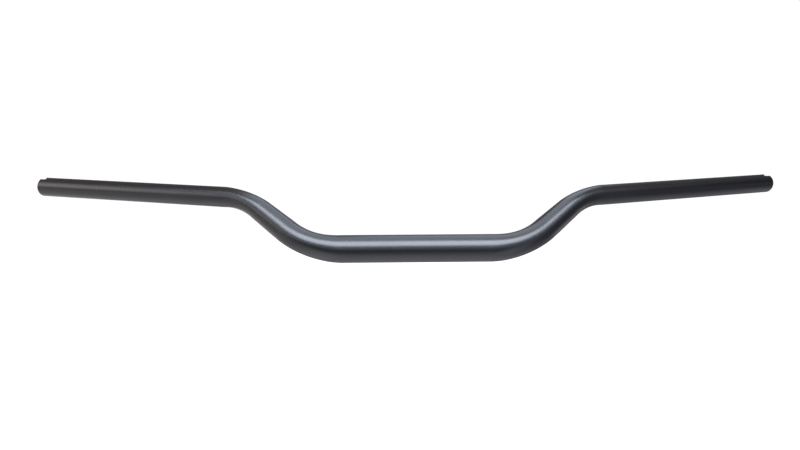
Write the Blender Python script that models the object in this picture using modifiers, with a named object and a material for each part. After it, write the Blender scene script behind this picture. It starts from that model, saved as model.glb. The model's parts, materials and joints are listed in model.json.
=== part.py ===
"""One-piece tapered motorcycle handlebar, with a threaded bush pressed into each end.

Frame: metres, +Z up, +Y towards the rider, +X towards the rider's left hand. The origin
lies on the axis of the clamp section, midway between the two bar clamps.

The bar is one bent tube. From the middle outwards each half is a straight clamp
section, a lower bend, a short upright, an upper bend and a straight grip section. The
tube is thick in the clamps and tapers to grip size, the bends are slightly flattened
in the plane they bend in, and a slot in each end keys the bar-end weight, which screws
into the bush behind it.
"""

import math

import bmesh
import bpy
from mathutils import Matrix, Vector

# Tube sections
CLAMP_DIAMETER = 0.0286
GRIP_DIAMETER = 0.0222
CLAMP_WALL = 0.0045
GRIP_WALL = 0.0030
TAPER_START = 0.0869          # along the centreline, from the middle of the bar
TAPER_LENGTH = 0.1264

# Lengths of the straight stretches
CLAMP_STRAIGHT = 0.1544       # the whole clamp section, both halves
UPRIGHT_STRAIGHT = 0.0380
GRIP_STRAIGHT = 0.2464

# Bends
LOWER_BEND_RADIUS = 0.0873
UPPER_BEND_RADIUS = 0.0889
UPRIGHT_ANGLE = math.radians(41.1)    # between the clamp section and an upright
LEAN_BACK = math.radians(30.5)        # of the plane that holds the uprights
GRIP_SWEEP = math.radians(17.55)      # of the grips towards the rider
GRIP_RISE = math.radians(4.0)
LOWER_FLATTENING = 0.072              # share of the thickness lost in mid-bend
UPPER_FLATTENING = 0.064
BEND_WIDENING = 0.3                   # of that loss, gained across the bend

# Key slot in each end
SLOT_WIDTH = 0.0078
SLOT_DEPTH = 0.0082           # along the tube, from its end face
SLOT_LEAN = math.radians(18)  # towards the front, from the top of the tube
SLOT_ROUNDING = 0.49          # share of the width: just under half, so that the corners don't meet

# Threaded bush in each end
BUSH_LENGTH = 0.0300
BUSH_RECESS = 0.0120          # from the end face of the tube to the bush
BUSH_CHAMFER = 0.0008
THREAD_DIAMETER = 0.0068      # minor diameter of an M8 thread
FIT_GAP = 0.0003              # between the bush and the tube's bore

# Fineness
TUBE_SIDES = 36
BUSH_SIDES = 32
CLAMP_STEPS = 2               # cross-sections along each straight stretch
UPRIGHT_STEPS = 2
GRIP_STEPS = 3
SLOT_CORNER_STEPS = 6
SHARP_ANGLE = math.radians(30)        # edges that turn by more are shaded sharp
BEND_STEP = math.radians(4.5)
CUT_OVERRUN = 0.010           # how far a cutter runs past what it cuts
MERGE = 0.00001

ACROSS = Vector((1, 0, 0))
UP = Vector((0, 0, 1))


class Station:
    """A cross-section of the tube: its place, its heading and how a bend flattens it."""

    def __init__(self, point, heading, distance, inward=None, flattening=0.0):
        self.point = point
        self.heading = heading
        self.distance = distance
        self.inward = inward
        self.flattening = flattening


def taper(at_clamp, at_grip, distance):
    """A size that runs from its clamp value to its grip value along the taper."""
    share = min(max((distance - TAPER_START) / TAPER_LENGTH, 0), 1)
    return at_clamp + (at_grip - at_clamp) * share


def outer_radius(distance):
    return taper(CLAMP_DIAMETER / 2, GRIP_DIAMETER / 2, distance)


def bore_radius(distance):
    return outer_radius(distance) - taper(CLAMP_WALL, GRIP_WALL, distance)


def add_straight(stations, length, steps):
    last = stations[-1]
    for step in range(1, steps + 1):
        run = length * step / steps
        stations.append(Station(last.point + last.heading * run, last.heading, last.distance + run))


def add_bend(stations, heading, radius, flattening):
    """Turn the centreline to a new heading on an arc."""
    last = stations[-1]
    angle = last.heading.angle(heading)
    inward = (heading - last.heading * last.heading.dot(heading)).normalized()
    steps = math.ceil(angle / BEND_STEP)
    for step in range(1, steps + 1):
        turn = angle * step / steps
        toward = inward * math.cos(turn) - last.heading * math.sin(turn)
        point = last.point + last.heading * radius * math.sin(turn) + inward * radius * (1 - math.cos(turn))
        new_heading = last.heading * math.cos(turn) + inward * math.sin(turn)
        amount = flattening * math.sin(math.pi * step / steps)
        stations.append(Station(point, new_heading, last.distance + radius * turn, toward, amount))


def half_centreline(start, overrun):
    """Stations of the half at +X, from start on the clamp section to overrun past the end."""
    upright = Vector((math.cos(UPRIGHT_ANGLE),
                      math.sin(UPRIGHT_ANGLE) * math.sin(LEAN_BACK),
                      math.sin(UPRIGHT_ANGLE) * math.cos(LEAN_BACK)))
    grip = Vector((math.cos(GRIP_RISE) * math.cos(GRIP_SWEEP),
                   math.cos(GRIP_RISE) * math.sin(GRIP_SWEEP),
                   math.sin(GRIP_RISE)))
    stations = [Station(ACROSS * start, ACROSS, start)]
    add_straight(stations, CLAMP_STRAIGHT / 2 - start, CLAMP_STEPS)
    add_bend(stations, upright, LOWER_BEND_RADIUS, LOWER_FLATTENING)
    add_straight(stations, UPRIGHT_STRAIGHT, UPRIGHT_STEPS)
    add_bend(stations, grip, UPPER_BEND_RADIUS, UPPER_FLATTENING)
    add_straight(stations, GRIP_STRAIGHT + overrun, GRIP_STEPS)
    return stations


def flatten(point, stations):
    """Squeeze a point of the tube's surface in the plane of the bend that it lies in."""
    near = min(stations, key=lambda station: (station.point - point).length)
    if near.inward is None:
        return point
    reach = (point - near.point).dot(near.inward)
    side_axis = near.heading.cross(near.inward)
    side = (point - near.point).dot(side_axis)
    loss = near.flattening
    return point - near.inward * reach * loss + side_axis * side * loss * BEND_WIDENING


def tube_mesh(name, stations, radius_at):
    """A closed, round bar along the stations, made as a bevelled curve and flattened in its bends."""
    curve = bpy.data.curves.new(name, "CURVE")
    curve.dimensions = "3D"
    curve.bevel_depth = CLAMP_DIAMETER / 2
    curve.bevel_resolution = (TUBE_SIDES - 4) // 2
    curve.use_fill_caps = True
    spline = curve.splines.new("POLY")
    spline.points.add(len(stations) - 1)
    for spline_point, station in zip(spline.points, stations):
        spline_point.co = (*station.point, 1)
        spline_point.radius = radius_at(station.distance) / curve.bevel_depth
    guide = bpy.data.objects.new(name, curve)
    bpy.context.scene.collection.objects.link(guide)
    bpy.context.view_layer.update()
    evaluated = guide.evaluated_get(bpy.context.evaluated_depsgraph_get())
    mesh = bpy.data.meshes.new_from_object(evaluated)
    bpy.data.objects.remove(guide)
    shape = bmesh.new()
    shape.from_mesh(mesh)
    bmesh.ops.remove_doubles(shape, verts=shape.verts, dist=MERGE)
    for vert in shape.verts:
        vert.co = flatten(vert.co, stations)
    bmesh.ops.recalc_face_normals(shape, faces=shape.faces)
    shape.to_mesh(mesh)
    shape.free()
    return mesh


def shade(mesh):
    mesh.shade_smooth()
    mesh.set_sharp_from_angle(angle=SHARP_ANGLE)


def material(name, colour, roughness, metallic):
    made = bpy.data.materials.new(name)
    made.use_nodes = True
    shader = made.node_tree.nodes["Principled BSDF"]
    shader.inputs["Base Color"].default_value = (*colour, 1)
    shader.inputs["Roughness"].default_value = roughness
    shader.inputs["Metallic"].default_value = metallic
    return made


def add_object(name, mesh, collection):
    made = bpy.data.objects.new(name, mesh)
    collection.objects.link(made)
    return made


def add_cutter(name, mesh, collection):
    cutter = add_object(name, mesh, collection)
    cutter.hide_render = True
    cutter.display_type = "WIRE"
    return cutter


def cut(piece, cutter):
    boolean = piece.modifiers.new(cutter.name, "BOOLEAN")
    boolean.operation = "DIFFERENCE"
    boolean.solver = "EXACT"
    boolean.object = cutter


def end_frame(end):
    """Matrix of the end at +X: Z runs out along the grip, Y points to the middle of the key slot."""
    top = (UP - end.heading * UP.dot(end.heading)).normalized()
    front = end.heading.cross(top)
    if front.y > 0:
        front.negate()
    slot_way = top * math.cos(SLOT_LEAN) + front * math.sin(SLOT_LEAN)
    side = slot_way.cross(end.heading)
    turn = Matrix((side, slot_way, end.heading)).transposed()
    return Matrix.Translation(end.point) @ turn.to_4x4()


def slot_mesh(frame):
    """Cutter for the key slot: a bar across the wall, rounded where the slot ends in the tube."""
    length = SLOT_DEPTH + CUT_OVERRUN
    height = GRIP_DIAMETER / 2 + CUT_OVERRUN
    shape = bmesh.new()
    bmesh.ops.create_cube(shape, size=1)
    bmesh.ops.scale(shape, verts=shape.verts, vec=(SLOT_WIDTH, height, length))
    bmesh.ops.translate(shape, verts=shape.verts, vec=(0, height / 2, CUT_OVERRUN - length / 2))
    inner_edges = [edge for edge in shape.edges
                   if all(vert.co.z < 0 for vert in edge.verts)
                   and edge.verts[0].co.x * edge.verts[1].co.x > 0]
    bmesh.ops.bevel(shape, geom=inner_edges, offset=SLOT_WIDTH * SLOT_ROUNDING,
                    segments=SLOT_CORNER_STEPS, profile=0.5, affect="EDGES", material=-1)
    bmesh.ops.transform(shape, matrix=frame, verts=shape.verts)
    bmesh.ops.recalc_face_normals(shape, faces=shape.faces)
    mesh = bpy.data.meshes.new("key_slot")
    shape.to_mesh(mesh)
    shape.free()
    return mesh


def build_tube(parts, cutters):
    """The bar itself: the half at +X, bored and slotted, then mirrored at the middle."""
    outside = half_centreline(-CUT_OVERRUN, 0)
    inside = half_centreline(-2 * CUT_OVERRUN, CUT_OVERRUN)
    tube = add_object("handlebar_tube", tube_mesh("handlebar_tube", outside, outer_radius), parts)
    bore = add_cutter("tube_bore", tube_mesh("tube_bore", inside, bore_radius), cutters)
    slot = add_cutter("key_slot", slot_mesh(end_frame(outside[-1])), cutters)
    cut(tube, bore)
    cut(tube, slot)
    mirror = tube.modifiers.new("other_half", "MIRROR")
    mirror.use_axis = (True, False, False)
    mirror.use_bisect_axis = (True, False, False)
    mirror.use_clip = True
    mirror.merge_threshold = MERGE
    tube.data.materials.append(material("satin_anodised_aluminium", (0.055, 0.058, 0.066), 0.42, 0.85))
    shade(tube.data)
    return outside[-1]


def bush_mesh(end):
    """A turned bush with chamfered rims, open at both ends, lying along Z with its mouth up."""
    radius = bore_radius(end.distance) - FIT_GAP
    thread = THREAD_DIAMETER / 2
    profile = [(thread, BUSH_CHAMFER),
               (thread + BUSH_CHAMFER, 0),
               (radius - BUSH_CHAMFER, 0),
               (radius, BUSH_CHAMFER),
               (radius, BUSH_LENGTH - BUSH_CHAMFER),
               (radius - BUSH_CHAMFER, BUSH_LENGTH),
               (thread + BUSH_CHAMFER, BUSH_LENGTH),
               (thread, BUSH_LENGTH - BUSH_CHAMFER)]
    shape = bmesh.new()
    ring = [shape.verts.new((r, 0, z - BUSH_LENGTH)) for r, z in profile]
    edges = [shape.edges.new((ring[i - 1], ring[i])) for i in range(len(ring))]
    bmesh.ops.spin(shape, geom=ring + edges, cent=(0, 0, 0), axis=(0, 0, 1), angle=math.tau,
                   steps=BUSH_SIDES, use_merge=True)
    bmesh.ops.recalc_face_normals(shape, faces=shape.faces)
    mesh = bpy.data.meshes.new("end_bush")
    shape.to_mesh(mesh)
    shape.free()
    return mesh


def build_bushes(end, parts):
    """The two bushes, each on the axis of its grip, set back from the end of the tube."""
    steel = material("zinc_plated_steel", (0.30, 0.30, 0.29), 0.38, 1.0)
    place = end_frame(end) @ Matrix.Translation((0, 0, -BUSH_RECESS))
    for name, side in (("left_end_bush", 1), ("right_end_bush", -1)):
        mesh = bush_mesh(end)
        mesh.transform(place)
        if side < 0:
            mesh.transform(Matrix.Scale(-1, 4, ACROSS))
            mesh.flip_normals()
        mesh.materials.append(steel)
        shade(mesh)
        add_object(name, mesh, parts)


def main():
    for old in list(bpy.data.objects):
        bpy.data.objects.remove(old)
    parts = bpy.data.collections.new("handlebar")
    cutters = bpy.data.collections.new("cutters")
    for collection in (parts, cutters):
        bpy.context.scene.collection.children.link(collection)
    end = build_tube(parts, cutters)
    build_bushes(end, parts)


main()
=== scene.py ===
"""Finished look of a one-piece tapered motorcycle handlebar with a threaded bush in each end.

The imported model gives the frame: metres, +X towards the rider's left hand, +Y towards the
rider, +Z up, origin on the clamp section's axis. The tube is drawn again here as a smooth
skin along the same centreline, its ends are slotted and rounded off, and the bushes are
turned and tapped.
"""

import json
import math

import bmesh
import bpy
from bpy.props import FloatProperty, FloatVectorProperty, IntProperty, PointerProperty
from mathutils import Matrix, Vector


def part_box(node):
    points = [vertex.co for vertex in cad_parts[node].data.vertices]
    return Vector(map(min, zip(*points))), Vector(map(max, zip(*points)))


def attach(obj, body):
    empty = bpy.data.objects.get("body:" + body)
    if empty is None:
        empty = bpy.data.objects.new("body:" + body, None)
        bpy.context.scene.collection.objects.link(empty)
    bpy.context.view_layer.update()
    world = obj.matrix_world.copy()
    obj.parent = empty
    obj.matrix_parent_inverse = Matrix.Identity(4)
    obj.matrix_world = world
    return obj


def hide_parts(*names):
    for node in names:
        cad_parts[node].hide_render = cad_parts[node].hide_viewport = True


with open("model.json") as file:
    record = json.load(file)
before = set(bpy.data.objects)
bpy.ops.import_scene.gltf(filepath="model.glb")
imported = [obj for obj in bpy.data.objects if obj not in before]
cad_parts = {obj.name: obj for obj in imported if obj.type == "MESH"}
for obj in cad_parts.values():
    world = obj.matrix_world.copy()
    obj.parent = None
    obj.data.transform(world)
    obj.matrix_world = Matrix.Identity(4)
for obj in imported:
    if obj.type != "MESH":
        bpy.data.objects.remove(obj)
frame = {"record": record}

bl_info = {
    "name": "Tapered Handlebar",
    "version": (1, 0, 0),
    "blender": (4, 5, 0),
    "location": "View3D > Sidebar > Handlebar",
    "description": "Builds a tapered one-piece motorcycle handlebar and a plain studio round it",
    "category": "Object",
}

TUBE_NODE = "handlebar_tube"
BUSH_NODES = {"left_end_bush": 1, "right_end_bush": -1}

ACROSS = Vector((1, 0, 0))
UP = Vector((0, 0, 1))
MERGE = 0.000002
SEAM_REACH = 0.0001     # how near X = 0 a vertex belongs to the seam of the two halves

# How finely the tube's centreline is stepped
CLAMP_STEPS = 8
UPRIGHT_STEPS = 6
GRIP_STEPS = 10
END_STEPS = 16
BEND_STEP = math.radians(1.5)
END_ROOM = 1.6          # length of the finely stepped end, in slot depths

# The tube's ends and slots
FACE_INSET = 0.0007     # width of the bands beside the rims of an end face
SLOT_ROUNDING = 0.495   # radius of the slot's inner end, in slot widths
SLOT_SEGMENTS = 14
ROUNDED_ZONE = 1.2      # depth in which edges are rounded off, in slot depths
ROUNDED_ANGLE = math.radians(35)
ROUND_SEGMENTS = 3
WEAR_REACH = 1.2        # width of the worn edge, in edge radii
SHARP_ANGLE = math.radians(38)

# The tapped thread, in pitches, and the bush before it is tapped
THREAD_DEPTH = 0.54
THREAD_CREST = 0.2
THREAD_ROOT = (0.55, 0.65)
THREAD_STEPS = 32
SPARE_TURNS = 4
FIRST_CUT = 1.5         # where the wound thread is cut level at its start
PILOT_SHARE = 0.45      # radius of the pilot hole, in minor diameters of the thread
BUSH_STEPS = 64

# Patterns of the finishes: scale in features per metre, share of the surface, height in metres
CLOUD_SCALE = 22
CLOUD_AMOUNT = 0.16
CLOUD_SHADE = 1.5
GRAIN_SCALE = 2600
GRAIN_AMOUNT = 0.22
GRAIN_SHADE = 0.55
GRAIN_HEIGHT = 0.00008
PATCH_SCALE = 900
PEENING_SCALE = 1500
PEENING_HEIGHT = 0.0001
SATIN_SPREAD = 0.035
BLOTCH_SCALE = 180
BLOTCH_AMOUNT = 0.6
BLOTCH_SHADE = 0.6
TURNING_SCALE = 1500
TURNING_HEIGHT = 0.00005
PLATING_ROUGHNESS = (0.34, 0.5)

# The studio
FLOOR_RADIUS = 60
FLOOR_SIDES = 96
BACKDROP_STRENGTH = 1.05
ROOM_STOPS = (          # height from 0 straight down to 1 straight up, and the colour there
    (0.0, (0.85, 0.89, 1.0)),
    (0.15, (0.45, 0.45, 0.48)),
    (0.32, (0.12, 0.14, 0.18)),
    (0.5, (0.19, 0.20, 0.24)),
    (0.7, (0.02, 0.01, 0.01)),
    (1.0, (0.34, 0.32, 0.33)),
)

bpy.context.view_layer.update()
MOUNTS = {mount["name"]: mount for mount in frame["record"]["mounts"]}
GRIP_HEADING = Vector(MOUNTS["left_end_face"]["axis"]).normalized()
CLAMP_RADIUS = -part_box(TUBE_NODE)[0].z


# Sizes and colours that a user would change

class BarSizes(bpy.types.PropertyGroup):
    """Sizes of the bent tube."""
    grip_diameter: FloatProperty(
        name="Grip Diameter", description="Outside diameter of the grip sections",
        default=0.0222, min=0.015, max=0.03, precision=4, unit="LENGTH")
    clamp_wall: FloatProperty(
        name="Clamp Wall", description="Wall thickness in the clamp section",
        default=0.0045, min=0.001, max=0.008, precision=4, unit="LENGTH")
    grip_wall: FloatProperty(
        name="Grip Wall", description="Wall thickness in the grip sections",
        default=0.0030, min=0.001, max=0.006, precision=4, unit="LENGTH")
    taper_start: FloatProperty(
        name="Taper Start", description="Where the taper starts, along the tube from its middle",
        default=0.0869, min=0, max=0.3, precision=4, unit="LENGTH")
    taper_length: FloatProperty(
        name="Taper Length", description="Length of the taper, along the tube",
        default=0.1264, min=0.01, max=0.3, precision=4, unit="LENGTH")
    clamp_straight: FloatProperty(
        name="Clamp Straight", description="Length of the straight clamp section",
        default=0.1544, min=0.05, max=0.4, precision=4, unit="LENGTH")
    upright_straight: FloatProperty(
        name="Upright Straight", description="Straight length between the two bends of one side",
        default=0.0380, min=0, max=0.2, precision=4, unit="LENGTH")
    lower_bend_radius: FloatProperty(
        name="Lower Bend Radius",
        description="Centreline radius of the bends beside the clamp section",
        default=0.0873, min=0.04, max=0.2, precision=4, unit="LENGTH")
    upper_bend_radius: FloatProperty(
        name="Upper Bend Radius", description="Centreline radius of the bends before the grips",
        default=0.0889, min=0.04, max=0.2, precision=4, unit="LENGTH")
    upright_angle: FloatProperty(
        name="Upright Angle", description="Angle between the clamp section and an upright",
        default=math.radians(41.1), min=0, max=math.radians(80), subtype="ANGLE")
    lean_back: FloatProperty(
        name="Lean Back", description="How far the plane of the uprights leans towards the rider",
        default=math.radians(30.5), min=0, max=math.radians(80), subtype="ANGLE")
    lower_flattening: FloatProperty(
        name="Lower Flattening",
        description="Share of the thickness lost in the middle of a lower bend",
        default=0.072, min=0, max=0.2, subtype="FACTOR")
    upper_flattening: FloatProperty(
        name="Upper Flattening",
        description="Share of the thickness lost in the middle of an upper bend",
        default=0.064, min=0, max=0.2, subtype="FACTOR")
    widening: FloatProperty(
        name="Bend Widening",
        description="Share of the flattening that a bend gains across its plane",
        default=0.3, min=0, max=1, subtype="FACTOR")
    sides: IntProperty(
        name="Sides", description="Faces round the tube", default=96, min=24, max=256)


class EndSizes(bpy.types.PropertyGroup):
    """Sizes of the key slots and bushes in the tube's ends."""
    slot_width: FloatProperty(
        name="Slot Width", description="Width of the key slot in the wall of each end",
        default=0.0078, min=0.002, max=0.012, precision=4, unit="LENGTH")
    slot_depth: FloatProperty(
        name="Slot Depth", description="Depth of the key slot along the tube",
        default=0.0082, min=0.002, max=0.03, precision=4, unit="LENGTH")
    slot_lean: FloatProperty(
        name="Slot Lean", description="How far the slot is turned from the top towards the front",
        default=math.radians(18), min=0, max=math.radians(90), subtype="ANGLE")
    edge_round: FloatProperty(
        name="Edge Round", description="Radius that breaks the edges of the tube's ends and slots",
        default=0.00028, min=0.00005, max=0.001, precision=5, unit="LENGTH")
    bush_recess: FloatProperty(
        name="Bush Recess", description="Distance from the tube's end face to its bush",
        default=0.0120, min=0, max=0.05, precision=4, unit="LENGTH")
    bush_length: FloatProperty(
        name="Bush Length", description="Length of a bush",
        default=0.0300, min=0.01, max=0.08, precision=4, unit="LENGTH")
    bush_gap: FloatProperty(
        name="Bush Gap", description="Gap between a bush and the tube's bore",
        default=0.0003, min=0.0001, max=0.001, precision=4, unit="LENGTH")
    bush_chamfer: FloatProperty(
        name="Bush Chamfer", description="Chamfer on the rims of a bush",
        default=0.0008, min=0.0002, max=0.002, precision=4, unit="LENGTH")
    thread_minor: FloatProperty(
        name="Thread Minor Diameter", description="Diameter over the crests of the tapped thread",
        default=0.0068, min=0.003, max=0.012, precision=4, unit="LENGTH")
    thread_pitch: FloatProperty(
        name="Thread Pitch", description="Distance between two crests of the tapped thread",
        default=0.00125, min=0.0005, max=0.002, precision=5, unit="LENGTH")


class FinishSettings(bpy.types.PropertyGroup):
    """Colours and surface of the finishes."""
    anodising: FloatVectorProperty(
        name="Anodising", description="Colour of the anodised tube",
        default=(0.055, 0.055, 0.056), min=0, max=1, size=3, subtype="COLOR")
    bare_metal: FloatVectorProperty(
        name="Bare Metal", description="Colour of the aluminium where edges have worn",
        default=(0.30, 0.30, 0.31), min=0, max=1, size=3, subtype="COLOR")
    plating: FloatVectorProperty(
        name="Plating", description="Colour of the plated steel bushes",
        default=(0.34, 0.34, 0.32), min=0, max=1, size=3, subtype="COLOR")
    satin: FloatProperty(
        name="Satin", description="Roughness of the anodised tube",
        default=0.30, min=0, max=1, subtype="FACTOR")
    edge_wear: FloatProperty(
        name="Edge Wear", description="How far the edges of the ends have worn to bare metal",
        default=0.25, min=0, max=1, subtype="FACTOR")


class StudioSettings(bpy.types.PropertyGroup):
    """The plain studio round the bar."""
    lens: FloatProperty(
        name="Lens", description="Focal length of the camera in millimetres",
        default=26.0, min=10, max=200)
    distance: FloatProperty(
        name="Distance", description="Distance from the camera to the clamp section",
        default=0.5916, min=0.2, max=5, precision=4, unit="LENGTH")
    aside: FloatProperty(
        name="Aside", description="How far the camera stands towards the rider's right",
        default=0.0332, min=-1, max=1, precision=4, unit="LENGTH")
    height: FloatProperty(
        name="Height", description="Height of the camera above the clamp section's axis",
        default=0.0241, min=-1, max=1, precision=4, unit="LENGTH")
    turn: FloatProperty(
        name="Turn", description="How far the camera is turned towards the rider's left",
        default=math.radians(1.55), subtype="ANGLE")
    roll: FloatProperty(
        name="Roll", description="Roll of the camera about its view",
        default=math.radians(0.4), subtype="ANGLE")
    floor_drop: FloatProperty(
        name="Floor Drop", description="Depth of the floor below the clamp section's axis",
        default=1.0, min=0.1, max=3, unit="LENGTH")
    light_distance: FloatProperty(
        name="Light Distance", description="Distance from the bar to the lights",
        default=6.0, min=1, max=20, unit="LENGTH")
    key_radiance: FloatProperty(
        name="Key Radiance",
        description="Brightness of the large softbox before and above the bar",
        default=9.9, min=0, max=100)
    fill_radiance: FloatProperty(
        name="Fill Radiance", description="Brightness of the softbox at the rider's right",
        default=2.55, min=0, max=100)
    overhead_radiance: FloatProperty(
        name="Overhead Radiance", description="Brightness of the strip above the bar",
        default=2.8, min=0, max=100)
    rear_radiance: FloatProperty(
        name="Rear Radiance", description="Brightness of the low softbox behind the bar",
        default=0.8, min=0, max=100)
    room: FloatProperty(
        name="Room", description="Brightness of the room below the bar",
        default=1.65, min=0, max=20)


# The centreline

class Station:
    """A cross-section of the tube: its place, its heading and how a bend flattens it."""

    def __init__(self, point, heading, distance, inward=None, flattening=0.0):
        self.point = point
        self.heading = heading
        self.distance = distance
        self.inward = inward
        self.flattening = flattening


def add_straight(stations, length, steps):
    """Carry the centreline straight on."""
    last = stations[-1]
    for step in range(1, steps + 1):
        run = length * step / steps
        point = last.point + last.heading * run
        stations.append(Station(point, last.heading, last.distance + run))


def add_bend(stations, heading, radius, flattening):
    """Turn the centreline to a new heading on an arc."""
    last = stations[-1]
    angle = last.heading.angle(heading)
    inward = (heading - last.heading * last.heading.dot(heading)).normalized()
    steps = math.ceil(angle / BEND_STEP)
    for step in range(1, steps + 1):
        turn = angle * step / steps
        toward = inward * math.cos(turn) - last.heading * math.sin(turn)
        point = (last.point + last.heading * radius * math.sin(turn)
                 + inward * radius * (1 - math.cos(turn)))
        new_heading = last.heading * math.cos(turn) + inward * math.sin(turn)
        distance = last.distance + radius * turn
        amount = flattening * math.sin(math.pi * step / steps)
        stations.append(Station(point, new_heading, distance, toward, amount))


def half_centreline(sizes, ends):
    """Stations of the half at +X, from the middle of the bar to the face of its left end."""
    upright = Vector((math.cos(sizes.upright_angle),
                      math.sin(sizes.upright_angle) * math.sin(sizes.lean_back),
                      math.sin(sizes.upright_angle) * math.cos(sizes.lean_back)))
    stations = [Station(Vector((0, 0, 0)), ACROSS, 0.0)]
    add_straight(stations, sizes.clamp_straight / 2, CLAMP_STEPS)
    add_bend(stations, upright, sizes.lower_bend_radius, sizes.lower_flattening)
    add_straight(stations, sizes.upright_straight, UPRIGHT_STEPS)
    add_bend(stations, GRIP_HEADING, sizes.upper_bend_radius, sizes.upper_flattening)
    end_room = ends.slot_depth * END_ROOM
    face = Vector(MOUNTS["left_end_face"]["pos_m"])
    to_face = (face - stations[-1].point).dot(GRIP_HEADING)
    add_straight(stations, to_face - end_room, GRIP_STEPS)
    add_straight(stations, end_room, END_STEPS)
    ring_radius = (face - stations[-1].point).length
    if not sizes.grip_diameter / 2 - sizes.grip_wall < ring_radius < sizes.grip_diameter / 2:
        raise RuntimeError("the drawn centreline doesn't end where the packed tube does")
    return stations


def taper(sizes, at_clamp, at_grip, distance):
    """A size that passes evenly from its clamp value to its grip value along the taper."""
    share = min(max((distance - sizes.taper_start) / sizes.taper_length, 0), 1)
    return at_clamp + (at_grip - at_clamp) * share


def outer_radius(sizes, distance):
    return taper(sizes, CLAMP_RADIUS, sizes.grip_diameter / 2, distance)


def bore_radius(sizes, distance):
    wall = taper(sizes, sizes.clamp_wall, sizes.grip_wall, distance)
    return outer_radius(sizes, distance) - wall


def end_frame(ends, station):
    """Matrix of the left end: Z runs out along the grip, Y points to the key slot's middle."""
    top = (UP - station.heading * UP.dot(station.heading)).normalized()
    front = station.heading.cross(top)
    if front.y > 0:
        front.negate()
    slot_way = top * math.cos(ends.slot_lean) + front * math.sin(ends.slot_lean)
    side = slot_way.cross(station.heading)
    turn = Matrix((side, slot_way, station.heading)).transposed()
    return Matrix.Translation(station.point) @ turn.to_4x4()


# Mesh helpers

def new_object(name, shape):
    """Object at the origin that holds a finished bmesh."""
    mesh = bpy.data.meshes.new(name)
    shape.to_mesh(mesh)
    shape.free()
    made = bpy.data.objects.new(name, mesh)
    bpy.context.scene.collection.objects.link(made)
    return made


def cut(piece, cutter):
    """Cut one object out of another and delete the cutter."""
    boolean = piece.modifiers.new("cut", "BOOLEAN")
    boolean.operation = "DIFFERENCE"
    boolean.solver = "EXACT"
    boolean.object = cutter
    bpy.context.view_layer.update()
    evaluated = piece.evaluated_get(bpy.context.evaluated_depsgraph_get())
    mesh = bpy.data.meshes.new_from_object(evaluated)
    piece.modifiers.clear()
    piece.data = mesh
    bpy.data.objects.remove(cutter)


def finish_mesh(piece, finish):
    """Smooth the shading between a piece's sharp edges, and give it its finish alone."""
    piece.data.shade_smooth()
    piece.data.set_sharp_from_angle(angle=SHARP_ANGLE)
    piece.data.materials.clear()
    piece.data.materials.append(finish)


def section_matrix(station, turn, radius, widening):
    """Matrix that puts a unit circle in its place on the tube, sized and flattened."""
    matrix = Matrix.Translation(station.point)
    if station.inward is not None:
        across = station.heading.cross(station.inward)
        matrix = matrix @ Matrix.Scale(1 - station.flattening, 4, station.inward)
        matrix = matrix @ Matrix.Scale(1 + station.flattening * widening, 4, across)
    return matrix @ Matrix.Scale(radius, 4) @ turn.to_matrix().to_4x4()


def drawn_skin(shape, stations, sizes, slot_way):
    """Draw a circle out along the outside, in across the end face and back through the bore.

    The slot's middle falls on a row of vertices.
    """
    turns = [UP.rotation_difference(ACROSS)]
    for before, after in zip(stations, stations[1:]):
        turns.append(before.heading.rotation_difference(after.heading) @ turns[-1])
    circle = bmesh.ops.create_circle(shape, cap_ends=False, radius=1,
                                     segments=sizes.sides)["verts"]
    first = circle[0].co
    way = turns[-1].inverted() @ slot_way
    start = Matrix.Rotation(math.atan2(way.y, way.x) - math.atan2(first.y, first.x), 4, "Z")

    def sections(radius_at):
        return [section_matrix(station, turn, radius_at(sizes, station.distance),
                               sizes.widening) @ start
                for station, turn in zip(stations, turns)]

    face = [section_matrix(stations[-1], turns[-1], sizes.grip_diameter / 2 - inset, 0) @ start
            for inset in (FACE_INSET, sizes.grip_wall - FACE_INSET)]
    places = sections(outer_radius) + face + sections(bore_radius)[::-1]
    places.append(places[0])
    edges = shape.edges[:]
    bmesh.ops.transform(shape, matrix=places[0], verts=circle)
    for before, after in zip(places, places[1:]):
        drawn = bmesh.ops.extrude_edge_only(shape, edges=edges)["geom"]
        verts = [item for item in drawn if isinstance(item, bmesh.types.BMVert)]
        edges = [item for item in drawn if isinstance(item, bmesh.types.BMEdge)]
        bmesh.ops.transform(shape, matrix=after @ before.inverted(), verts=verts)
    bmesh.ops.remove_doubles(shape, verts=shape.verts, dist=MERGE)
    bmesh.ops.recalc_face_normals(shape, faces=shape.faces)


def slot_cutter(ends, sizes, place):
    """A bar that runs in from the end face through the wall, with a round inner end."""
    overrun = ends.slot_depth
    length = ends.slot_depth + overrun
    height = sizes.grip_diameter
    shape = bmesh.new()
    bmesh.ops.create_cube(shape, size=1)
    bmesh.ops.scale(shape, verts=shape.verts, vec=(ends.slot_width, height, length))
    bmesh.ops.translate(shape, verts=shape.verts, vec=(0, height / 2, overrun - length / 2))
    inner_edges = [edge for edge in shape.edges
                   if all(vert.co.z < 0 for vert in edge.verts)
                   and edge.verts[0].co.x * edge.verts[1].co.x > 0]
    bmesh.ops.bevel(shape, geom=inner_edges, offset=ends.slot_width * SLOT_ROUNDING,
                    segments=SLOT_SEGMENTS, profile=0.5, affect="EDGES", material=-1)
    bmesh.ops.transform(shape, matrix=place, verts=shape.verts)
    bmesh.ops.recalc_face_normals(shape, faces=shape.faces)
    return new_object("slot_cutter", shape)


def near_end(point, place, depth):
    """True of a point on the tube that lies within a depth of its end face."""
    return (place.inverted() @ point).z > -depth


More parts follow.
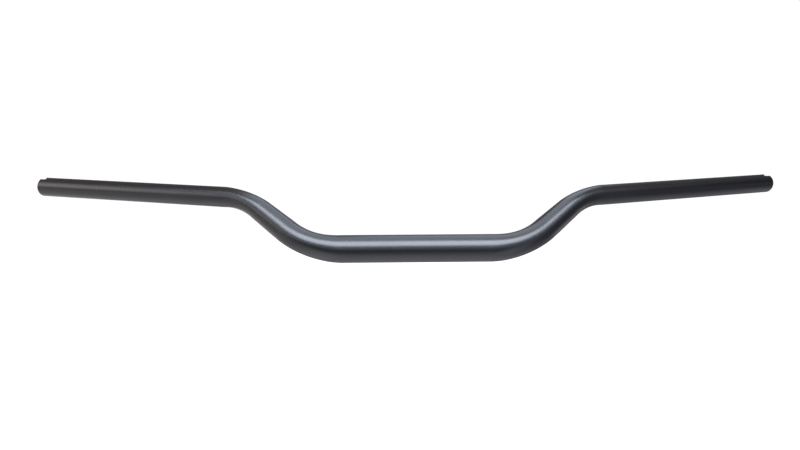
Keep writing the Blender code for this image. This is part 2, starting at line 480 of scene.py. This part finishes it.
def round_edges(shape, place, ends):
    """Break the sharp edges of the tube's end and slot."""
    depth = ends.slot_depth * ROUNDED_ZONE
    edges = [edge for edge in shape.edges
             if edge.is_manifold and edge.calc_face_angle(0) > ROUNDED_ANGLE
             and all(near_end(vert.co, place, depth) for vert in edge.verts)]
    bmesh.ops.bevel(shape, geom=edges, offset=ends.edge_round, segments=ROUND_SEGMENTS,
                    profile=0.5, affect="EDGES", material=-1, clamp_overlap=True)


def mirror_half(shape):
    """Open the half tube at X = 0 and join it to its mirror image there."""
    middle = {vert for vert in shape.verts if abs(vert.co.x) < SEAM_REACH}
    for vert in middle:
        vert.co.x = 0
    cap = [face for face in shape.faces if middle.issuperset(face.verts)]
    bmesh.ops.delete(shape, geom=cap, context="FACES")
    bmesh.ops.mirror(shape, geom=shape.verts[:] + shape.edges[:] + shape.faces[:],
                     matrix=Matrix.Identity(4), merge_dist=MERGE, axis="X")


# Attributes that the finishes read

def store(piece, name, value_at):
    """Save a number per vertex on a piece."""
    attribute = piece.data.attributes.new(name, "FLOAT", "POINT")
    for vert, cell in zip(piece.data.vertices, attribute.data):
        cell.value = value_at(vert.co)


# Finishes

def new_material(name):
    """A material with its nodes, its links and its shader."""
    made = bpy.data.materials.new(name)
    made.use_nodes = True
    return made, made.node_tree.nodes, made.node_tree.links, made.node_tree.nodes["Principled BSDF"]


def noise(nodes, links, scale, detail, roughness=0.55):
    """Noise on Object coordinates, at a scale in features per metre."""
    where = nodes.new("ShaderNodeTexCoord")
    texture = nodes.new("ShaderNodeTexNoise")
    texture.inputs["Scale"].default_value = scale
    texture.inputs["Detail"].default_value = detail
    texture.inputs["Roughness"].default_value = roughness
    links.new(where.outputs["Object"], texture.inputs["Vector"])
    return texture.outputs["Fac"]


def mapped(nodes, links, source, from_min, from_max, to_min, to_max):
    """A value carried from one range to another and held at its ends."""
    node = nodes.new("ShaderNodeMapRange")
    node.inputs["From Min"].default_value = from_min
    node.inputs["From Max"].default_value = from_max
    node.inputs["To Min"].default_value = to_min
    node.inputs["To Max"].default_value = to_max
    links.new(source, node.inputs["Value"])
    return node.outputs["Result"]


def mixed_colour(nodes, links, share, first, second):
    """A first colour, or the output that gives it, mixed towards a second one."""
    node = nodes.new("ShaderNodeMix")
    node.data_type = "RGBA"
    links.new(share, node.inputs["Factor"])
    if isinstance(first, bpy.types.NodeSocket):
        links.new(first, node.inputs["A"])
    else:
        node.inputs["A"].default_value = (*first, 1)
    node.inputs["B"].default_value = (*second, 1)
    return node.outputs["Result"]


def attribute(nodes, name):
    node = nodes.new("ShaderNodeAttribute")
    node.attribute_name = name
    return node.outputs["Fac"]


def bumped(nodes, links, height, strength, distance, under=None):
    """Normals bumped by a height, on top of an earlier bump if there is one."""
    node = nodes.new("ShaderNodeBump")
    node.inputs["Strength"].default_value = strength
    node.inputs["Distance"].default_value = distance
    links.new(height, node.inputs["Height"])
    if under:
        links.new(under, node.inputs["Normal"])
    return node.outputs["Normal"]


def shade(colour, factor):
    """A lighter or darker shade of a colour."""
    return tuple(part * factor for part in colour)


def satin_anodising(finish):
    """Dark anodised aluminium: peened dimples, fine grain, faint clouds and worn edges."""
    made, nodes, links, shader = new_material("satin_anodising")
    cloud = noise(nodes, links, CLOUD_SCALE, 3)
    grain = noise(nodes, links, GRAIN_SCALE, 2, 0.7)
    cloudy = mixed_colour(
        nodes, links, mapped(nodes, links, cloud, 0.3, 0.7, 0.0, CLOUD_AMOUNT),
        tuple(finish.anodising), shade(finish.anodising, CLOUD_SHADE))
    grained = mixed_colour(
        nodes, links, mapped(nodes, links, grain, 0.35, 0.65, 0.0, GRAIN_AMOUNT),
        cloudy, shade(finish.anodising, GRAIN_SHADE))
    patches = noise(nodes, links, PATCH_SCALE, 3)
    worn = nodes.new("ShaderNodeMath")
    worn.operation = "MULTIPLY"
    links.new(attribute(nodes, "edge_wear"), worn.inputs[0])
    links.new(mapped(nodes, links, patches, 0.5, 0.62, 0.0, finish.edge_wear), worn.inputs[1])
    links.new(mixed_colour(nodes, links, worn.outputs[0], grained, tuple(finish.bare_metal)),
              shader.inputs["Base Color"])
    least, most = finish.satin - SATIN_SPREAD, finish.satin + SATIN_SPREAD
    links.new(mapped(nodes, links, grain, 0.3, 0.7, least, most), shader.inputs["Roughness"])
    shader.inputs["Metallic"].default_value = 1.0
    peening = nodes.new("ShaderNodeTexVoronoi")
    peening.feature = "SMOOTH_F1"
    peening.inputs["Scale"].default_value = PEENING_SCALE
    links.new(nodes.new("ShaderNodeTexCoord").outputs["Object"], peening.inputs["Vector"])
    dimples = bumped(nodes, links, peening.outputs["Distance"], 0.12, PEENING_HEIGHT)
    links.new(bumped(nodes, links, grain, 0.10, GRAIN_HEIGHT, dimples), shader.inputs["Normal"])
    return made


def dull_plating(finish):
    """Zinc plated steel with faint blotches and turning marks."""
    made, nodes, links, shader = new_material("dull_plating")
    blotch = noise(nodes, links, BLOTCH_SCALE, 3)
    blotched = mixed_colour(
        nodes, links, mapped(nodes, links, blotch, 0.35, 0.7, 0.0, BLOTCH_AMOUNT),
        tuple(finish.plating), shade(finish.plating, BLOTCH_SHADE))
    links.new(blotched, shader.inputs["Base Color"])
    shader.inputs["Metallic"].default_value = 1.0
    links.new(mapped(nodes, links, blotch, 0.3, 0.7, *PLATING_ROUGHNESS),
              shader.inputs["Roughness"])
    turning = noise(nodes, links, TURNING_SCALE, 2)
    links.new(bumped(nodes, links, turning, 0.15, TURNING_HEIGHT), shader.inputs["Normal"])
    return made


# Pieces

def build_tube(sizes, ends, finish):
    """The tube: one half drawn, slotted and rounded off, then mirrored."""
    stations = half_centreline(sizes, ends)
    place = end_frame(ends, stations[-1])
    slot_way = place.to_3x3() @ Vector((0, 1, 0))
    shape = bmesh.new()
    drawn_skin(shape, stations, sizes, slot_way)
    tube = new_object("bar_tube", shape)
    cut(tube, slot_cutter(ends, sizes, place))
    shape = bmesh.new()
    shape.from_mesh(tube.data)
    bmesh.ops.remove_doubles(shape, verts=shape.verts, dist=MERGE)
    round_edges(shape, place, ends)
    mirror_half(shape)
    bmesh.ops.recalc_face_normals(shape, faces=shape.faces)
    shape.to_mesh(tube.data)
    shape.free()
    finish_mesh(tube, satin_anodising(finish))
    store(tube, "edge_wear", lambda point: edge_wear(point, place, sizes, ends))
    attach(tube, "root")
    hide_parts(TUBE_NODE)


def edge_wear(point, place, sizes, ends):
    """1 on the outer edges of the end face and of the slot, 0 away from them."""
    near = place.inverted() @ Vector((abs(point.x), point.y, point.z))
    reach = ends.edge_round * WEAR_REACH
    outside = math.hypot(near.x, near.y) > sizes.grip_diameter / 2 - reach
    at_face = near.z > -reach
    at_slot = (near.y > 0 and abs(near.x) < ends.slot_width / 2 + reach
               and near.z > -ends.slot_depth - reach)
    return 1.0 if outside and (at_face or at_slot) else 0.0


def tap_cutter(ends, place):
    """The inside of a tapped hole: one thread profile wound up into a closed screw."""
    pitch = ends.thread_pitch
    minor = ends.thread_minor / 2
    major = minor + pitch * THREAD_DEPTH
    turns = math.ceil(ends.bush_length / pitch) + SPARE_TURNS
    outline = [(minor, 0), (minor, pitch * THREAD_CREST)]
    outline += [(major, pitch * share) for share in THREAD_ROOT]
    outline += [(minor, pitch)]
    shape = bmesh.new()
    profile = [shape.verts.new((reach, 0, height)) for reach, height in outline]
    edges = [shape.edges.new(pair) for pair in zip(profile, profile[1:])]
    bmesh.ops.spin(shape, geom=profile + edges, cent=(0, 0, 0), axis=(0, 0, 1),
                   dvec=(0, 0, pitch / THREAD_STEPS), angle=math.tau * turns,
                   steps=THREAD_STEPS * turns)
    bmesh.ops.remove_doubles(shape, verts=shape.verts, dist=MERGE)
    start = pitch * FIRST_CUT
    ends_at = (start, start + ends.bush_length + pitch)
    for height, facing in zip(ends_at, (-1, 1)):
        bmesh.ops.bisect_plane(shape, geom=shape.verts[:] + shape.edges[:] + shape.faces[:],
                               plane_co=(0, 0, height), plane_no=(0, 0, facing), clear_outer=True)
        rim = [edge for edge in shape.edges
               if edge.is_boundary and all(abs(vert.co.z - height) < MERGE for vert in edge.verts)]
        bmesh.ops.contextual_create(shape, geom=rim)
    bmesh.ops.recalc_face_normals(shape, faces=shape.faces)
    drop = -ends.bush_length - start - pitch / 2
    bmesh.ops.translate(shape, verts=shape.verts, vec=(0, 0, drop))
    bmesh.ops.transform(shape, matrix=place, verts=shape.verts)
    return new_object("tap_cutter", shape)


def bush_blank(ends, radius, place):
    """A turned bush before tapping: chamfered rims, a countersunk mouth and a pilot hole."""
    chamfer = ends.bush_chamfer
    pilot = ends.thread_minor * PILOT_SHARE
    sink = ends.thread_pitch
    length = ends.bush_length
    profile = [(pilot, sink), (pilot + sink, 0), (radius - chamfer, 0), (radius, chamfer),
               (radius, length - chamfer), (radius - chamfer, length),
               (pilot + sink, length), (pilot, length - sink)]
    shape = bmesh.new()
    ring = [shape.verts.new((reach, 0, height - length)) for reach, height in profile]
    edges = [shape.edges.new((ring[i - 1], ring[i])) for i in range(len(ring))]
    bmesh.ops.spin(shape, geom=ring + edges, cent=(0, 0, 0), axis=(0, 0, 1), angle=math.tau,
                   steps=BUSH_STEPS, use_merge=True)
    bmesh.ops.recalc_face_normals(shape, faces=shape.faces)
    bmesh.ops.transform(shape, matrix=place, verts=shape.verts)
    return new_object("bush_blank", shape)


def build_bushes(sizes, ends, finish):
    """The two bushes. Both are made in the left end, and one is then mirrored."""
    end = half_centreline(sizes, ends)[-1]
    place = end_frame(ends, end) @ Matrix.Translation((0, 0, -ends.bush_recess))
    radius = bore_radius(sizes, end.distance) - ends.bush_gap
    plating = dull_plating(finish)
    for node, side in BUSH_NODES.items():
        bush = bush_blank(ends, radius, place)
        cut(bush, tap_cutter(ends, place))
        bush.name = node.replace("end_bush", "tapped_bush")
        if side < 0:
            bush.data.transform(Matrix.Scale(-1, 4, ACROSS))
            bush.data.flip_normals()
        finish_mesh(bush, plating)
        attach(bush, "root")
        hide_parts(node)


# The studio

def build_floor(studio):
    """An evenly lit white floor. The lights alone shape the bar's reflections."""
    shape = bmesh.new()
    bmesh.ops.create_circle(shape, cap_ends=True, radius=FLOOR_RADIUS, segments=FLOOR_SIDES)
    bmesh.ops.translate(shape, verts=shape.verts, vec=(0, 0, -studio.floor_drop))
    floor = new_object("studio_floor", shape)
    made, _, _, shader = new_material("white_floor")
    shader.inputs["Base Color"].default_value = (0.9, 0.9, 0.9, 1)
    shader.inputs["Roughness"].default_value = 0.9
    shader.inputs["Specular IOR Level"].default_value = 0
    shader.inputs["Emission Color"].default_value = (1, 1, 1, 1)
    shader.inputs["Emission Strength"].default_value = 1.0
    floor.data.materials.append(made)
    floor.visible_glossy = False
    floor.visible_shadow = False


def direction(azimuth, elevation):
    """Unit vector: azimuth from straight before the bar towards +X, elevation above level."""
    turn, rise = math.radians(azimuth), math.radians(elevation)
    return Vector((math.sin(turn) * math.cos(rise),
                   -math.cos(turn) * math.cos(rise),
                   math.sin(rise)))


def add_softbox(studio, name, azimuth, elevation, width, height, radiance, colour):
    """A rectangular light that faces the bar. Width and height are shares of its distance."""
    light = bpy.data.lights.new(name, "AREA")
    light.shape = "RECTANGLE"
    light.size = width * studio.light_distance
    light.size_y = height * studio.light_distance
    light.energy = radiance * math.pi * light.size * light.size_y
    light.color = colour
    made = bpy.data.objects.new(name, light)
    bpy.context.scene.collection.objects.link(made)
    way = direction(azimuth, elevation)
    made.location = way * studio.light_distance
    made.rotation_euler = (-way).to_track_quat("-Z", "Y").to_euler()
    made.visible_camera = False


def build_lights(studio):
    """Softboxes, cards and reflectors. The lesser ones are shares of the key and the fill."""
    key, fill = studio.key_radiance, studio.fill_radiance
    overhead, rear = studio.overhead_radiance, studio.rear_radiance
    add_softbox(studio, "key_softbox", 0, 45, 1.22, 0.74, key, (0.83, 0.90, 1.0))
    add_softbox(studio, "key_spill", -6, 34, 3.0, 1.4, key * 0.105, (0.70, 0.80, 1.0))
    add_softbox(studio, "side_fill", -95, 18, 1.46, 0.50, fill, (1.0, 0.85, 0.72))
    add_softbox(studio, "low_fill", -113, -18, 3.2, 0.42, fill * 0.33, (1.0, 0.93, 0.88))
    add_softbox(studio, "left_floor_card", -80, -47, 1.6, 1.0, fill * 0.18, (1.0, 0.9, 0.88))
    add_softbox(studio, "right_floor_card", 42, -28, 0.5, 0.8, fill * 0.27, (0.88, 0.88, 1.0))
    add_softbox(studio, "side_reflector", 111, -13, 0.54, 0.46, fill * 0.42, (1.0, 0.9, 0.83))
    add_softbox(studio, "overhead_strip", 160, 77, 0.56, 1.15, overhead, (0.72, 0.84, 1.0))
    add_softbox(studio, "rear_softbox", 180, 16, 1.6, 0.4, rear, (0.95, 0.97, 1.0))


def build_world(studio):
    """White where the camera looks, and a dim room for what the bar reflects."""
    world = bpy.data.worlds.new("white_room")
    bpy.context.scene.world = world
    world.use_nodes = True
    nodes, links = world.node_tree.nodes, world.node_tree.links
    nodes.clear()
    output = nodes.new("ShaderNodeOutputWorld")
    choose = nodes.new("ShaderNodeMixShader")
    path = nodes.new("ShaderNodeLightPath")
    where = nodes.new("ShaderNodeTexCoord")
    split = nodes.new("ShaderNodeSeparateXYZ")
    links.new(where.outputs["Generated"], split.inputs["Vector"])
    ramp = nodes.new("ShaderNodeValToRGB")
    links.new(mapped(nodes, links, split.outputs["Z"], -1, 1, 0, 1), ramp.inputs["Fac"])
    while len(ramp.color_ramp.elements) < len(ROOM_STOPS):
        ramp.color_ramp.elements.new(0.5)
    for stop, (height, colour) in zip(ramp.color_ramp.elements, ROOM_STOPS):
        stop.position = height
        stop.color = (*colour, 1)
    room = nodes.new("ShaderNodeBackground")
    room.inputs["Strength"].default_value = studio.room
    links.new(ramp.outputs["Color"], room.inputs["Color"])
    white = nodes.new("ShaderNodeBackground")
    white.inputs["Color"].default_value = (1, 1, 1, 1)
    white.inputs["Strength"].default_value = BACKDROP_STRENGTH
    links.new(path.outputs["Is Camera Ray"], choose.inputs["Fac"])
    links.new(room.outputs[0], choose.inputs[1])
    links.new(white.outputs[0], choose.inputs[2])
    links.new(choose.outputs[0], output.inputs["Surface"])
    bpy.context.scene.view_settings.view_transform = "Standard"


def build_camera(studio):
    """A level camera before the bar, turned and rolled a little."""
    camera = bpy.data.cameras.new("studio_camera")
    camera.lens = studio.lens
    camera.clip_start = 0.01
    made = bpy.data.objects.new("studio_camera", camera)
    bpy.context.scene.collection.objects.link(made)
    level = Matrix.Rotation(math.radians(90), 4, "X")
    made.matrix_world = (Matrix.Translation((-studio.aside, -studio.distance, studio.height))
                         @ Matrix.Rotation(-studio.turn, 4, "Z") @ level
                         @ Matrix.Rotation(-studio.roll, 4, "Z"))
    bpy.context.scene.camera = made


# Operators and panel

class HANDLEBAR_OT_tube(bpy.types.Operator):
    """Draw, bend, slot and anodise the tube"""
    bl_idname = "handlebar.tube"
    bl_label = "Make Tube"

    def execute(self, context):
        scene = context.scene
        build_tube(scene.bar_sizes, scene.end_sizes, scene.bar_finish)
        return {"FINISHED"}


class HANDLEBAR_OT_bushes(bpy.types.Operator):
    """Turn and tap the two bushes and seat them in the tube's ends"""
    bl_idname = "handlebar.bushes"
    bl_label = "Make End Bushes"

    def execute(self, context):
        scene = context.scene
        build_bushes(scene.bar_sizes, scene.end_sizes, scene.bar_finish)
        return {"FINISHED"}


class HANDLEBAR_OT_stage(bpy.types.Operator):
    """Set up the floor, lights, white surroundings and camera"""
    bl_idname = "handlebar.stage"
    bl_label = "Make Stage"

    def execute(self, context):
        studio = context.scene.bar_studio
        build_floor(studio)
        build_lights(studio)
        build_world(studio)
        build_camera(studio)
        return {"FINISHED"}


class HANDLEBAR_PT_panel(bpy.types.Panel):
    """Lists the operators that make the handlebar"""
    bl_idname = "HANDLEBAR_PT_panel"
    bl_label = "Handlebar"
    bl_space_type = "VIEW_3D"
    bl_region_type = "UI"
    bl_category = "Handlebar"

    def draw(self, context):
        for operator in (HANDLEBAR_OT_tube, HANDLEBAR_OT_bushes, HANDLEBAR_OT_stage):
            self.layout.operator(operator.bl_idname)


CLASSES = (BarSizes, EndSizes, FinishSettings, StudioSettings,
           HANDLEBAR_OT_tube, HANDLEBAR_OT_bushes, HANDLEBAR_OT_stage, HANDLEBAR_PT_panel)


def register():
    for each in CLASSES:
        bpy.utils.register_class(each)
    bpy.types.Scene.bar_sizes = PointerProperty(type=BarSizes)
    bpy.types.Scene.end_sizes = PointerProperty(type=EndSizes)
    bpy.types.Scene.bar_finish = PointerProperty(type=FinishSettings)
    bpy.types.Scene.bar_studio = PointerProperty(type=StudioSettings)


def unregister():
    for name in ("bar_sizes", "end_sizes", "bar_finish", "bar_studio"):
        delattr(bpy.types.Scene, name)
    for each in reversed(CLASSES):
        bpy.utils.unregister_class(each)


def main():
    register()
    bpy.ops.handlebar.tube()
    bpy.ops.handlebar.bushes()
    bpy.ops.handlebar.stage()


if __name__ == "__main__":
    main()
